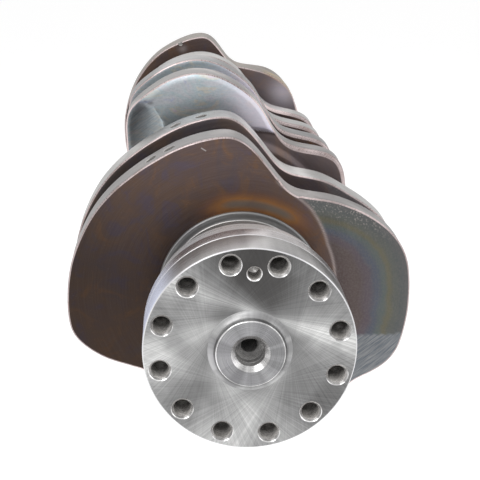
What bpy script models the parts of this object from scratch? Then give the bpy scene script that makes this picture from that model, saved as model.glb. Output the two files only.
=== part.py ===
"""Crankshaft of a four-cylinder truck diesel, as its separate named sections.

The crank turns about the Y axis.  The flywheel end faces -Y, the nose faces +Y, and the
origin is on the axis, in the middle of the centre main journal.  Angles are measured
clockwise from +Z, seen from the flywheel end.  Cylinder 1 is at the nose, so webs,
crankpins and main journals count from the nose.
"""

import math

import bmesh
import bpy

MM = 0.001
GAP = 0.3

# Driving dimensions, in millimetres.
STROKE = 130.0
FLANGE_RADIUS = 62.5
FLANGE_STRAIGHT = 37.5
FLANGE_LENGTH = 60.9
FLANGE_REAR_RADIUS = 58.8
SEAL_GROOVE_Y = 25.2
BOSS_RADIUS = 20.5
BOSS_BASE_RADIUS = 22.6
BOSS_HEIGHT = 5.6
BOSS_RECESS_DEPTH = 2.0
PILOT_HOLE_RADIUS = 9.0
PILOT_COUNTERSINK_RADIUS = 11.9
CENTRE_DRILL_RADIUS = 5.0
BOLT_COUNT = 12
BOLT_CIRCLE_RADIUS = 53.6
BOLT_HOLE_RADIUS = 5.6
BOLT_MOUTH_RADIUS = 6.7
BOLT_HOLE_DEPTH = 32.0
BOLT_PHASE = 17.9
DOWEL_CIRCLE_RADIUS = 47.0
DOWEL_ANGLE = 2.9
DOWEL_HOLE_RADIUS = 4.0
DOWEL_MOUTH_RADIUS = 4.7
DOWEL_HOLE_DEPTH = 14.0

MAIN_RADIUS = 45.0
PIN_RADIUS = 38.0
WEB_THICKNESS = 25.0
WEB_CHAMFER = 1.8
PIN_LENGTH = 37.5
MAIN_LENGTH = 34.5
REAR_WEB_FACE = 103.0
COLLAR_THICKNESS = 3.0
COLLAR_RADIUS = 54.5
OIL_HOLE_RADIUS = 3.5
OIL_HOLE_DEPTH = 22.0

OUTER_PIN_ANGLE = 154.0
INNER_PIN_ANGLE = OUTER_PIN_ANGLE - 180.0

GEAR_SEAT_RADIUS = 34.0
GEAR_SEAT_LENGTH = 26.0
NOSE_RADIUS = 29.0
NOSE_LENGTH = 42.0
GEAR_TEETH = 40
GEAR_MODULE = 2.5
GEAR_WIDTH = 24.0
KEY_WIDTH = 10.0
KEY_LENGTH = 30.0
KEY_HEIGHT = 8.0

ROUND_SEGMENTS = 48
OUTLINE_STEPS = 2

PITCH = 2.0 * WEB_THICKNESS + PIN_LENGTH + MAIN_LENGTH
CENTRE = REAR_WEB_FACE + 2.0 * PITCH - 0.5 * MAIN_LENGTH

# Web outlines as (angle, radius) corners joined by a smooth closed curve.
# The rear pair carries a wide counterweight on the left and a broad cheek on the right.
REAR_LEFT = (
    (-130, 86), (-118, 101), (-107, 113.5), (-98, 115), (-80, 112.5), (-60, 109), (-42, 105),
    (-22, 104), (-8, 104), (-1, 102), (5, 95), (14, 82.7), (24, 74), (34, 74.2),
)
REAR_FOOT = (
    (82, 113), (98, 114.5), (109, 116), (114, 116.5), (119, 114.5), (125, 110), (132, 103.5),
    (143, 106), (154, 112), (166, 109), (177, 98), (192, 86), (210, 82),
)
WEB_8 = REAR_LEFT + ((47, 85), (60, 97.3), (71, 107.5)) + REAR_FOOT
WEB_7 = REAR_LEFT + ((47, 84), (60, 93), (71, 104)) + REAR_FOOT

# The two middle pairs point their pin lobe up and left and carry a shallower counterweight.
MIDDLE_FOOT = (
    (95, 94), (125, 98), (160, 99), (195, 99), (222, 98), (234, 92), (246, 83), (262, 77),
    (282, 78.5),
)
HIGH_LOBE = (
    (-58, 92), (-50, 100.5), (-43, 114.5), (-38, 122), (-31, 124.5), (-22, 126.8), (-13, 126.5),
    (-5, 121.5), (3, 112.5), (11, 102.5), (18, 90.5), (25, 82.6),
)
WEB_6 = HIGH_LOBE + ((32, 81.2), (40, 85.3), (47, 92.5), (54, 98), (62, 96.2), (74, 90.5)) + MIDDLE_FOOT
WEB_5 = HIGH_LOBE + ((32, 79), (40, 81.8), (47, 88), (54, 94.5), (62, 95), (74, 90.5)) + MIDDLE_FOOT
LOW_LOBE = (
    (-58, 90), (-50, 97), (-43, 104), (-36, 108), (-26, 110), (-16, 110), (-8, 108.5), (0, 103),
    (8, 95.5), (16, 85), (23, 78),
)
WEB_4 = LOW_LOBE + ((31, 75.6), (38, 77), (45, 82), (51, 88), (57, 92.5), (64, 92.5), (74, 90)) + MIDDLE_FOOT
WEB_3 = LOW_LOBE + ((30, 74), (37, 74), (44, 78.3), (51, 85), (57, 90.4), (64, 91.8), (74, 88)) + MIDDLE_FOOT

# The front pair has a rounder counterweight and a smaller cheek.
FRONT_FOOT = (
    (104, 88), (124, 97), (140, 107), (154, 112), (166, 109), (177, 98), (192, 86), (210, 80),
    (230, 78),
)
WEB_2 = (
    (-118, 80), (-104, 82.5), (-85, 88), (-65, 98), (-46, 107.3), (-30, 114.2), (-18, 116),
    (-10, 116.6), (-5, 115), (-1, 105.5), (4, 94.8), (9, 89.3), (17, 89.4), (27, 91.5), (37, 93),
    (46, 92), (53, 88.3), (61, 84), (82, 83),
) + FRONT_FOOT
WEB_1 = (
    (-118, 79), (-104, 81), (-85, 86), (-65, 94.5), (-48, 102.5), (-30, 106.8), (-14, 108.8),
    (-6, 107.6), (-1, 101.5), (6, 86.5), (13, 80.5), (22, 81.5), (34, 87.5), (46, 89.5),
    (62, 87), (82, 85),
) + FRONT_FOOT
WEB_OUTLINES = (WEB_1, WEB_2, WEB_3, WEB_4, WEB_5, WEB_6, WEB_7, WEB_8)


def polar(angle, radius):
    """A point across the shaft, as (x, z)."""
    turn = math.radians(angle)
    return (radius * math.sin(turn), radius * math.cos(turn))


def smooth_outline(corners):
    """Closed smooth curve through polar corners, as (x, z) points."""
    knots = [polar(angle, radius) for angle, radius in corners]
    count = len(knots)
    points = []
    for index in range(count):
        before, start, end, after = (knots[(index + k - 1) % count] for k in range(4))
        for step in range(OUTLINE_STEPS):
            t = step / OUTLINE_STEPS
            point = []
            for a, b, c, d in zip(before, start, end, after):
                tangent_start = 0.5 * (c - a)
                tangent_end = 0.5 * (d - b)
                value = (2 * t**3 - 3 * t**2 + 1) * b + (t**3 - 2 * t**2 + t) * tangent_start
                value += (3 * t**2 - 2 * t**3) * c + (t**3 - t**2) * tangent_end
                point.append(value)
            points.append(tuple(point))
    return points


def inset(outline, distance):
    """Move a closed clockwise outline inwards by a distance."""
    count = len(outline)
    moved = []
    for index, (x, z) in enumerate(outline):
        x0, z0 = outline[index - 1]
        x1, z1 = outline[(index + 1) % count]
        length = math.hypot(x1 - x0, z1 - z0)
        moved.append((x + (z1 - z0) / length * distance, z - (x1 - x0) / length * distance))
    return moved


def material(name, colour, roughness, metallic=1.0):
    made = bpy.data.materials.new(name)
    made.use_nodes = True
    shader = made.node_tree.nodes["Principled BSDF"]
    shader.inputs["Base Color"].default_value = (*colour, 1.0)
    shader.inputs["Roughness"].default_value = roughness
    shader.inputs["Metallic"].default_value = metallic
    return made


def finish_object(name, bm, finish, station, smooth_angle=35.0):
    """Turn a bmesh into an object that sits at its station on the crank axis."""
    bmesh.ops.recalc_face_normals(bm, faces=bm.faces)
    mesh = bpy.data.meshes.new(name)
    bm.to_mesh(mesh)
    bm.free()
    mesh.shade_smooth()
    mesh.set_sharp_from_angle(angle=math.radians(smooth_angle))
    made = bpy.data.objects.new(name, mesh)
    bpy.context.scene.collection.objects.link(made)
    made.location = (0.0, (station - CENTRE) * MM, 0.0)
    if finish:
        mesh.materials.append(finish)
    return made


def loft(bm, rings, closed=False):
    """Join rings of (x, y, z) millimetre points; close the ends or the loop of rings."""
    made = [[bm.verts.new((x * MM, y * MM, z * MM)) for x, y, z in ring] for ring in rings]
    pairs = list(zip(made, made[1:]))
    if closed:
        pairs.append((made[-1], made[0]))
    for first, second in pairs:
        count = len(first)
        for index in range(count):
            after = (index + 1) % count
            bm.faces.new((first[index], first[after], second[after], second[index]))
    if not closed:
        bm.faces.new(made[0])
        bm.faces.new(made[-1])


def circle(radius, y, segments=ROUND_SEGMENTS):
    return [(x, y, z) for x, z in (polar(360.0 * k / segments, radius) for k in range(segments))]


def turned(name, profile, finish, station, segments=ROUND_SEGMENTS, across=(0.0, 0.0)):
    """Solid of revolution about Y from (y, radius) steps, moved across the shaft."""
    bm = bmesh.new()
    loft(bm, [circle(radius, y, segments) for y, radius in profile])
    made = finish_object(name, bm, finish, station)
    made.location.x = across[0] * MM
    made.location.z = across[1] * MM
    return made


def slab(name, outline, thickness, chamfer, finish, station):
    """Plate cut to an outline, with both edges chamfered."""
    inner = inset(outline, chamfer)
    levels = ((0.0, inner), (chamfer, outline), (thickness - chamfer, outline), (thickness, inner))
    bm = bmesh.new()
    loft(bm, [[(x, y, z) for x, z in ring] for y, ring in levels])
    return finish_object(name, bm, finish, station)


def drill(name, mouths, profile, segments=16):
    """Cutter made of one turned tool at each (x, z) mouth, running along Y."""
    bm = bmesh.new()
    for x, z in mouths:
        loft(bm, [[(x + px, y, z + pz) for px, y, pz in circle(radius, y, segments)]
                  for y, radius in profile])
    return finish_object(name, bm, None, 0.0)


def cut(target, cutter, parent_to_target=True):
    """Subtract a cutter, which stays in the file as a hidden wire object."""
    cutter.hide_render = True
    cutter.display_type = "WIRE"
    if parent_to_target:
        cutter.location = (0.0, 0.0, 0.0)
        cutter.parent = target
    step = target.modifiers.new(cutter.name, "BOOLEAN")
    step.operation = "DIFFERENCE"
    step.solver = "EXACT"
    step.object = cutter


def radial_drill(name, across, angle, surface_radius, hole_radius, depth, y):
    """Cutter that enters a round surface from outside at an angle about the shaft."""
    bm = bmesh.new()
    outward = polar(angle, 1.0)
    side = polar(angle + 90.0, 1.0)
    rings = []
    steps = ((surface_radius + 3.0, hole_radius + 4.4), (surface_radius - 1.4, hole_radius),
             (surface_radius - depth, hole_radius))
    for reach, radius in steps:
        ring = []
        for k in range(12):
            turn = math.radians(30.0 * k)
            along = radius * math.cos(turn)
            ring.append((across[0] + outward[0] * reach + side[0] * along,
                         y + radius * math.sin(turn),
                         across[1] + outward[1] * reach + side[1] * along))
        rings.append(ring)
    loft(bm, rings)
    return finish_object(name, bm, None, 0.0)


def flywheel_end(steel):
    """Flange with its bolt circle and dowel hole, and the pilot boss on its face."""
    groove = 0.7
    flange = turned("flywheel_flange", (
        (0.0, FLANGE_RADIUS - 0.8),
        (0.8, FLANGE_RADIUS),
        (SEAL_GROOVE_Y - groove, FLANGE_RADIUS),
        (SEAL_GROOVE_Y, FLANGE_RADIUS - groove),
        (SEAL_GROOVE_Y + groove, FLANGE_RADIUS),
        (FLANGE_STRAIGHT, FLANGE_RADIUS),
        (FLANGE_LENGTH - 1.0, FLANGE_REAR_RADIUS),
        (FLANGE_LENGTH, FLANGE_REAR_RADIUS - 1.0),
    ), steel, 0.0, segments=72)

    bolt_mouths = [polar(BOLT_PHASE + 360.0 * k / BOLT_COUNT, BOLT_CIRCLE_RADIUS)
                   for k in range(BOLT_COUNT)]
    flare = BOLT_MOUTH_RADIUS - BOLT_HOLE_RADIUS
    cut(flange, drill("bolt_hole_drills", bolt_mouths, (
        (-2.0, BOLT_MOUTH_RADIUS + 2.0),
        (flare, BOLT_HOLE_RADIUS),
        (BOLT_HOLE_DEPTH, BOLT_HOLE_RADIUS),
        (BOLT_HOLE_DEPTH + 3.0, 0.6),
    )))

    flare = DOWEL_MOUTH_RADIUS - DOWEL_HOLE_RADIUS
    cut(flange, drill("dowel_hole_drill", [polar(DOWEL_ANGLE, DOWEL_CIRCLE_RADIUS)], (
        (-2.0, DOWEL_MOUTH_RADIUS + 2.0),
        (flare, DOWEL_HOLE_RADIUS),
        (DOWEL_HOLE_DEPTH, DOWEL_HOLE_RADIUS),
    )))
    cut(flange, drill("boss_recess_cutter", [(0.0, 0.0)], (
        (-2.0, BOSS_BASE_RADIUS + GAP),
        (BOSS_RECESS_DEPTH, BOSS_BASE_RADIUS + GAP),
    ), segments=ROUND_SEGMENTS))
    cut(flange, drill("centre_drill", [(0.0, 0.0)], (
        (1.0, PILOT_HOLE_RADIUS),
        (6.0, PILOT_HOLE_RADIUS),
        (10.0, CENTRE_DRILL_RADIUS),
        (34.0, CENTRE_DRILL_RADIUS),
        (37.0, 0.6),
    ), segments=24))

    boss = turned("pilot_boss", (
        (-BOSS_HEIGHT, BOSS_RADIUS - 0.5),
        (-BOSS_HEIGHT + 0.5, BOSS_RADIUS),
        (-1.6, BOSS_RADIUS + 0.8),
        (0.0, BOSS_BASE_RADIUS),
        (BOSS_RECESS_DEPTH - GAP, BOSS_BASE_RADIUS),
    ), steel, 0.0)
    sink = PILOT_COUNTERSINK_RADIUS - PILOT_HOLE_RADIUS
    cut(boss, drill("pilot_hole_drill", [(0.0, 0.0)], (
        (-BOSS_HEIGHT - 2.0, PILOT_COUNTERSINK_RADIUS + 2.0),
        (-BOSS_HEIGHT + sink, PILOT_HOLE_RADIUS),
        (4.0, PILOT_HOLE_RADIUS),
    ), segments=24))
    return [flange, boss]


def journal(name, start, length, radius, across, oil_angle, finish):
    """Ground journal with end chamfers and one oil hole half-way along it."""
    body = length - 2.0 * GAP
    made = turned(name, (
        (0.0, radius - 1.0),
        (1.0, radius),
        (body - 1.0, radius),
        (body, radius - 1.0),
    ), finish, start + GAP, across=across)
    cut(made, radial_drill(name + "_oil_drill", (0.0, 0.0), oil_angle, radius,
                           OIL_HOLE_RADIUS, OIL_HOLE_DEPTH, 0.5 * body))
    return made


def balance_drill(name, angles, rim_radius):
    """Cutters for the balancing holes drilled into a counterweight's rim."""
    return [radial_drill(f"{name}_{index}", (0.0, 0.0), angle, rim_radius, 3.6, 9.0,
                         0.5 * WEB_THICKNESS) for index, angle in enumerate(angles, start=1)]


def throws(steel, web_steel):
    """Eight webs, four crankpins and five main journals, from the flywheel end forwards."""
    made = []
    station = REAR_WEB_FACE
    for cylinder in (4, 3, 2, 1):
        outer = cylinder in (1, 4)
        pin_angle = OUTER_PIN_ANGLE if outer else INNER_PIN_ANGLE
        rear_web = 2 * cylinder
        front_web = rear_web - 1
        for number, face in ((rear_web, station), (front_web, station + WEB_THICKNESS + PIN_LENGTH)):
            outline = smooth_outline(WEB_OUTLINES[number - 1])
            made.append(slab(f"web_{number}", outline, WEB_THICKNESS, WEB_CHAMFER,
                             web_steel, face))
        made.append(journal(f"crankpin_{cylinder}", station + WEB_THICKNESS, PIN_LENGTH,
                            PIN_RADIUS, polar(pin_angle, 0.5 * STROKE), pin_angle + 40.0, steel))
        made.append(journal(f"main_journal_{cylinder}", station + PITCH - MAIN_LENGTH, MAIN_LENGTH,
                            MAIN_RADIUS, (0.0, 0.0), pin_angle, steel))
        station += PITCH

    made.append(journal("main_journal_5", FLANGE_LENGTH, REAR_WEB_FACE - COLLAR_THICKNESS
                        - FLANGE_LENGTH, MAIN_RADIUS, (0.0, 0.0), OUTER_PIN_ANGLE, steel))
    made.append(turned("thrust_collar", (
        (0.0, COLLAR_RADIUS - 0.6),
        (0.6, COLLAR_RADIUS),
        (COLLAR_THICKNESS - GAP, COLLAR_RADIUS),
    ), steel, REAR_WEB_FACE - COLLAR_THICKNESS))

    for web, angles in ((made[0], (-33.5, -26.0)), (made[1], (-23.5, -13.0))):
        for cutter in balance_drill(web.name + "_balance_drill", angles, 105.0):
            cut(web, cutter)
    return made


def gear_outline():
    """Spur teeth with straight flanks, four points to a tooth."""
    pitch_radius = 0.5 * GEAR_TEETH * GEAR_MODULE
    tip = pitch_radius + GEAR_MODULE
    root = pitch_radius - 1.25 * GEAR_MODULE
    tooth = 360.0 / GEAR_TEETH
    points = []
    for index in range(GEAR_TEETH):
        start = index * tooth
        points.append(polar(start - 0.34 * tooth, root))
        points.append(polar(start - 0.12 * tooth, tip))
        points.append(polar(start + 0.12 * tooth, tip))
        points.append(polar(start + 0.34 * tooth, root))
    return points


def nose_end(steel, gear_steel, key_steel):
    """Stepped nose with its keyway, the shrunk-on timing gear and the pulley key."""
    start = REAR_WEB_FACE + 4.0 * PITCH + GAP
    seat_end = 3.0 + GEAR_SEAT_LENGTH
    end = seat_end + NOSE_LENGTH
    nose = turned("nose_shaft", (
        (0.0, GEAR_SEAT_RADIUS + 3.0),
        (2.4, GEAR_SEAT_RADIUS + 3.0),
        (3.0, GEAR_SEAT_RADIUS),
        (seat_end - 0.8, GEAR_SEAT_RADIUS),
        (seat_end, GEAR_SEAT_RADIUS - 0.8),
        (seat_end, NOSE_RADIUS),
        (end - 1.5, NOSE_RADIUS),
        (end, NOSE_RADIUS - 1.5),
    ), steel, start)
    cut(nose, drill("nose_bolt_drill", [(0.0, 0.0)], (
        (end - 42.0, 7.0),
        (end - 2.0, 7.0),
        (end + 2.0, 11.0),
    ), segments=24))

    middle = seat_end + 0.5 * NOSE_LENGTH
    floor = NOSE_RADIUS - 5.0
    slot = bmesh.new()
    half_width = 0.5 * KEY_WIDTH + GAP
    half_length = 0.5 * KEY_LENGTH + GAP
    loft(slot, [[(x, middle + y, z) for x, y in rounded_bar(half_width, half_length)]
                for z in (floor - GAP, NOSE_RADIUS + 4.0)])
    cut(nose, finish_object("keyway_cutter", slot, None, 0.0))

    bar = bmesh.new()
    loft(bar, [[(x, middle + y, z) for x, y in rounded_bar(0.5 * KEY_WIDTH, 0.5 * KEY_LENGTH)]
               for z in (floor, floor + KEY_HEIGHT)])
    key = finish_object("nose_key", bar, key_steel, start)

    bore = [polar(9.0 * k + shift, GEAR_SEAT_RADIUS + GAP)
            for k in range(GEAR_TEETH) for shift in (-3.06, -1.08, 1.08, 3.06)]
    teeth = gear_outline()
    rings = ((0.0, bore), (0.0, teeth), (GEAR_WIDTH, teeth), (GEAR_WIDTH, bore))
    bm = bmesh.new()
    loft(bm, [[(x, y, z) for x, z in ring] for y, ring in rings], closed=True)
    gear = finish_object("timing_gear", bm, gear_steel, start + 3.0 + GAP)
    return [nose, key, gear]


def rounded_bar(half_width, half_length):
    """Bar with semicircular ends, seen from above, as (x, y) points."""
    straight = half_length - half_width
    points = []
    for end, turn in ((1.0, 0.0), (-1.0, 180.0)):
        for k in range(9):
            angle = math.radians(turn + 22.5 * k)
            points.append((half_width * math.cos(angle), end * straight
                           + half_width * math.sin(angle)))
    return points


def main():
    for old in list(bpy.data.objects):
        bpy.data.objects.remove(old, do_unlink=True)

    turned_steel = material("turned_steel", (0.62, 0.62, 0.63), 0.28)
    journal_steel = material("ground_journal_steel", (0.68, 0.68, 0.69), 0.16)
    forged_steel = material("tempered_forged_steel", (0.27, 0.22, 0.21), 0.42)
    gear_steel = material("hardened_gear_steel", (0.33, 0.34, 0.36), 0.32)
    key_steel = material("key_steel", (0.40, 0.38, 0.35), 0.36)

    crank = bpy.data.objects.new("crankshaft", None)
    bpy.context.scene.collection.objects.link(crank)
    pieces = flywheel_end(turned_steel)
    pieces += throws(journal_steel, forged_steel)
    pieces += nose_end(turned_steel, gear_steel, key_steel)
    for piece in pieces:
        piece.parent = crank


main()
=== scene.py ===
import math

import bmesh
import bpy
import numpy as np
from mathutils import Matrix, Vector


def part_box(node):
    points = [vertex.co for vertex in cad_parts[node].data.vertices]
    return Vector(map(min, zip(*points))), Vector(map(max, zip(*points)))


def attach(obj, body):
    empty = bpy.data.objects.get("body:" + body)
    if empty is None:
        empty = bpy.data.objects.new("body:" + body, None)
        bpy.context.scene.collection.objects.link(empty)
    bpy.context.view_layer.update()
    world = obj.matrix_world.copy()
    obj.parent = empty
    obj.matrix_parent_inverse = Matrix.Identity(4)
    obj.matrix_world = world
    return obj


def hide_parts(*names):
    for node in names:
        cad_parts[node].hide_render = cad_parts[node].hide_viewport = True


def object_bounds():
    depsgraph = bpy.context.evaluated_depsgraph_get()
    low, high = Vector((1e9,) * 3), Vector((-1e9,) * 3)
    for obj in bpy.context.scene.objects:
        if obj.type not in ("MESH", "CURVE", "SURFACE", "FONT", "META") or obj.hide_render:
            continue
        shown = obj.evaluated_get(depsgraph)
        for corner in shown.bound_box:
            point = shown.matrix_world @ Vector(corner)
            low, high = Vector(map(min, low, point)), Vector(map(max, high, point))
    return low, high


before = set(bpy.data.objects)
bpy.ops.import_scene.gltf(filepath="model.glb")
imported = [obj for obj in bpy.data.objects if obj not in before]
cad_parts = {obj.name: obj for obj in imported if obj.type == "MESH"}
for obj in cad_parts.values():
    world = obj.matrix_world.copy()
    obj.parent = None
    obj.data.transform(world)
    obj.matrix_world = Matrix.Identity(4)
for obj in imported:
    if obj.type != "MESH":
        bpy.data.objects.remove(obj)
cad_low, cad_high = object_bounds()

MM = 0.001
FULL_TURN = 2.0 * math.pi
SHARP_DEGREES = 32.0
OVERSHOOT = 3.0
BOSS_RISE = 5.6
FLANGE_FACE = cad_low.y / MM + BOSS_RISE
REAR_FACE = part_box("web_8")[0].y / MM
TICK_MIDDLE = (-23.6, REAR_FACE, 95.3)
TICK_ALONG = (0.84, 0.0, -0.54)
TICK_ACROSS = (0.54, 0.0, 0.84)


# ---------------------------------------------------------------- node helpers

def is_socket(value):
    return isinstance(value, bpy.types.NodeSocket)


class Look:
    """A Principled material and the few node calls that the finishes are made of."""

    def __init__(self, name, metallic=1.0, roughness=0.3, colour=(0.6, 0.6, 0.6)):
        self.made = bpy.data.materials.new(name)
        self.made.use_nodes = True
        self.tree = self.made.node_tree
        self.shader = self.tree.nodes["Principled BSDF"]
        self.shader.inputs["Metallic"].default_value = metallic
        self.shader.inputs["Roughness"].default_value = roughness
        self.shader.inputs["Base Color"].default_value = (*colour, 1.0)
        place = self.tree.nodes.new("ShaderNodeTexCoord").outputs["Object"]
        self.point = self.vector("SCALE", place, scale=1000.0)
        split = self.tree.nodes.new("ShaderNodeSeparateXYZ")
        self.tree.links.new(self.point, split.inputs[0])
        self.x, self.y, self.z = split.outputs
        flat = self.vector("MULTIPLY", self.point, (1.0, 0.0, 1.0))
        self.radius = self.vector("LENGTH", flat, output="Value")
        self.angle = self.maths("ARCTAN2", self.x, self.z)
        self.normal = None

    def plug(self, socket, value):
        if is_socket(value):
            self.tree.links.new(value, socket)
        else:
            socket.default_value = value

    def vector(self, operation, first, second=None, scale=None, output="Vector"):
        node = self.tree.nodes.new("ShaderNodeVectorMath")
        node.operation = operation
        self.plug(node.inputs[0], first)
        if second is not None:
            self.plug(node.inputs[1], second)
        if scale is not None:
            self.plug(node.inputs["Scale"], scale)
        return node.outputs[output]

    def maths(self, operation, first, second=0.0, third=None, clamp=False):
        node = self.tree.nodes.new("ShaderNodeMath")
        node.operation = operation
        node.use_clamp = clamp
        self.plug(node.inputs[0], first)
        self.plug(node.inputs[1], second)
        if third is not None:
            self.plug(node.inputs[2], third)
        return node.outputs[0]

    def combine(self, x, y, z):
        node = self.tree.nodes.new("ShaderNodeCombineXYZ")
        for socket, value in zip(node.inputs, (x, y, z)):
            self.plug(socket, value)
        return node.outputs[0]

    def noise(self, place, scale, detail=3.0, roughness=0.55, distortion=0.0):
        node = self.tree.nodes.new("ShaderNodeTexNoise")
        self.plug(node.inputs["Vector"], place)
        self.plug(node.inputs["Scale"], scale)
        self.plug(node.inputs["Detail"], detail)
        self.plug(node.inputs["Roughness"], roughness)
        self.plug(node.inputs["Distortion"], distortion)
        return node.outputs["Fac"]

    def span(self, value, low, high, to_low=0.0, to_high=1.0, smooth=True):
        node = self.tree.nodes.new("ShaderNodeMapRange")
        node.interpolation_type = "SMOOTHSTEP" if smooth else "LINEAR"
        for socket, number in zip(node.inputs, (value, low, high, to_low, to_high)):
            self.plug(socket, number)
        return node.outputs[0]

    def ramp(self, value, stops, interpolation="EASE"):
        node = self.tree.nodes.new("ShaderNodeValToRGB")
        node.color_ramp.interpolation = interpolation
        marks = node.color_ramp.elements
        while len(marks) < len(stops):
            marks.new(0.5)
        for mark, (position, colour) in zip(marks, stops):
            mark.position = position
            mark.color = (*colour, 1.0)
        self.plug(node.inputs[0], value)
        return node.outputs[0]

    def mix(self, share, first, second, blend="MIX"):
        node = self.tree.nodes.new("ShaderNodeMix")
        node.data_type = "RGBA"
        node.blend_type = blend
        self.plug(node.inputs[0], share)
        for socket, value in ((node.inputs[6], first), (node.inputs[7], second)):
            self.plug(socket, value if is_socket(value) else (*value, 1.0))
        return node.outputs[2]

    def mask(self, name):
        node = self.tree.nodes.new("ShaderNodeAttribute")
        node.attribute_name = name
        return node.outputs["Fac"]

    def bump(self, height, depth_mm, strength=1.0):
        node = self.tree.nodes.new("ShaderNodeBump")
        node.inputs["Strength"].default_value = strength
        node.inputs["Distance"].default_value = depth_mm * MM
        self.plug(node.inputs["Height"], height)
        if self.normal is not None:
            self.plug(node.inputs["Normal"], self.normal)
        self.normal = node.outputs[0]
        self.plug(self.shader.inputs["Normal"], self.normal)

    def colour(self, value):
        self.plug(self.shader.inputs["Base Color"], value)

    def rough(self, value):
        self.plug(self.shader.inputs["Roughness"], value)


# ---------------------------------------------------------------- finishes

GRIND_CIRCLE = 23.0


def ground_face(name):
    """Flange face, ground in straight passes that graze the pilot boss, with bright and dark fans along
    those passes painted in as highlight and shade.
    """
    look = Look(name, roughness=0.3)
    ratio = look.maths("DIVIDE", GRIND_CIRCLE, look.maths("MAXIMUM", look.radius, GRIND_CIRCLE + 0.01))
    open_angle = look.maths("ARCCOSINE", ratio)
    light = None
    fine = None
    # Painted highlight and painted shade: each family of grinding passes is lit or darkened by its
    # direction, in broad fans.
    highlight_fans = (
        (1.0, ((0.0, 0.24), (0.05, 0.30), (0.10, 0.46), (0.17, 0.62), (0.25, 0.34), (0.32, 0.18),
               (0.39, 0.60), (0.43, 0.82), (0.47, 0.38), (0.51, 0.42), (0.54, 0.64), (0.565, 0.98),
               (0.60, 0.40), (0.64, 0.10), (0.70, 0.05), (0.78, 0.34), (0.90, 0.36), (1.0, 0.24))),
        (-1.0, ((0.0, 0.34), (0.06, 0.34), (0.13, 0.26), (0.22, 0.30), (0.30, 0.06), (0.38, 0.10),
                (0.46, 0.30), (0.52, 0.44), (0.555, 0.95), (0.585, 0.50), (0.64, 0.28), (0.70, 0.14),
                (0.77, 0.30), (0.84, 0.66), (0.92, 0.44), (1.0, 0.34))),
    )
    for side, stops in highlight_fans:
        touch = look.maths("MULTIPLY_ADD", open_angle, side, look.angle)
        around = look.combine(look.maths("SINE", touch), look.maths("COSINE", touch), side)
        turn = look.maths("FRACT", look.maths("MULTIPLY_ADD", touch, 1.0 / FULL_TURN, 0.5))
        painted_fan_light = look.ramp(turn, [(at, (value,) * 3) for at, value in stops], "B_SPLINE")
        streak = look.noise(around, 46.0, 6.0, 0.74)
        thread = look.span(streak, 0.34, 0.66, 0.70, 1.16)
        part = look.maths("MULTIPLY", painted_fan_light, thread)
        light = part if light is None else look.maths("ADD", light, part)
        fine = streak if fine is None else look.maths("ADD", fine, streak)
    smudge = look.noise(look.point, 0.045, 3.0, 0.5)
    light = look.maths("MULTIPLY", light, look.span(smudge, 0.3, 0.7, 0.78, 1.15))
    look.colour(look.ramp(look.maths("DIVIDE", light, 1.5), [
        (0.0, (0.035, 0.033, 0.032)), (0.16, (0.085, 0.083, 0.082)), (0.33, (0.20, 0.20, 0.20)),
        (0.62, (0.42, 0.42, 0.418)), (1.0, (0.84, 0.84, 0.83))], "LINEAR"))
    look.rough(look.span(fine, 0.6, 1.4, 0.24, 0.40))
    look.shader.inputs["Anisotropic"].default_value = 0.4
    tangent = look.tree.nodes.new("ShaderNodeTangent")
    tangent.direction_type = "RADIAL"
    tangent.axis = "Y"
    look.plug(look.shader.inputs["Tangent"], tangent.outputs[0])
    look.bump(fine, 0.008, 0.5)
    return look.made


def turned_metal(name, tint, roughness, lines=3.2, contrast=0.16, depth=0.02, metallic=1.0,
                 highlight_fan=0.0, painted_blue_sheen=0.0):
    """Lathe-turned steel: fine rings about the crank axis, with slight stains, painted highlight fans
    around the axis and a painted blue sheen on the left of the rim.
    """
    look = Look(name, metallic=metallic, roughness=roughness, colour=tint)
    reach = look.combine(look.maths("MULTIPLY", look.y, lines),
                         look.maths("MULTIPLY", look.radius, lines),
                         look.maths("MULTIPLY", look.angle, 0.7))
    rings = look.noise(reach, 1.0, 5.0, 0.65)
    cloud = look.noise(look.point, 0.035, 3.0, 0.55, 0.6)
    dark = tuple(value * (1.0 - contrast) for value in tint)
    bright = tuple(min(1.0, value * (1.0 + contrast)) for value in tint)
    shade = look.mix(look.span(rings, 0.3, 0.7), dark, bright)
    stain = (tint[0] * 0.92, tint[1] * 0.90, tint[2] * 0.94)
    shade = look.mix(look.span(cloud, 0.42, 0.75, 0.0, 0.65), shade, stain)
    # Painted highlight: brighter and darker sectors around the crank axis.
    if highlight_fan:
        around = look.combine(look.maths("SINE", look.angle), look.maths("COSINE", look.angle), 2.0)
        swing = look.span(look.noise(around, 1.7, 4.0, 0.6), 0.36, 0.62, 1.0 - highlight_fan, 1.0 + highlight_fan)
        shade = look.mix(1.0, shade, look.combine(swing, swing, swing), "MULTIPLY")
    # Painted reflection: the upper left of the rim is tinted pale blue and made less metallic, so it
    # reads as a bright bluish sheen.
    if painted_blue_sheen:
        side = look.maths("MULTIPLY", look.span(look.x, -38.0, -54.0), look.span(look.z, -8.0, 16.0))
        side = look.maths("MULTIPLY", side, painted_blue_sheen)
        shade = look.mix(side, shade, (0.72, 0.76, 0.92))
        look.plug(look.shader.inputs["Metallic"], look.span(side, 0.0, 1.0, metallic, 0.15, False))
    look.colour(shade)
    look.rough(look.span(rings, 0.25, 0.75, roughness * 0.8, roughness * 1.3))
    look.bump(rings, depth, 0.7)
    return look.made


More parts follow.
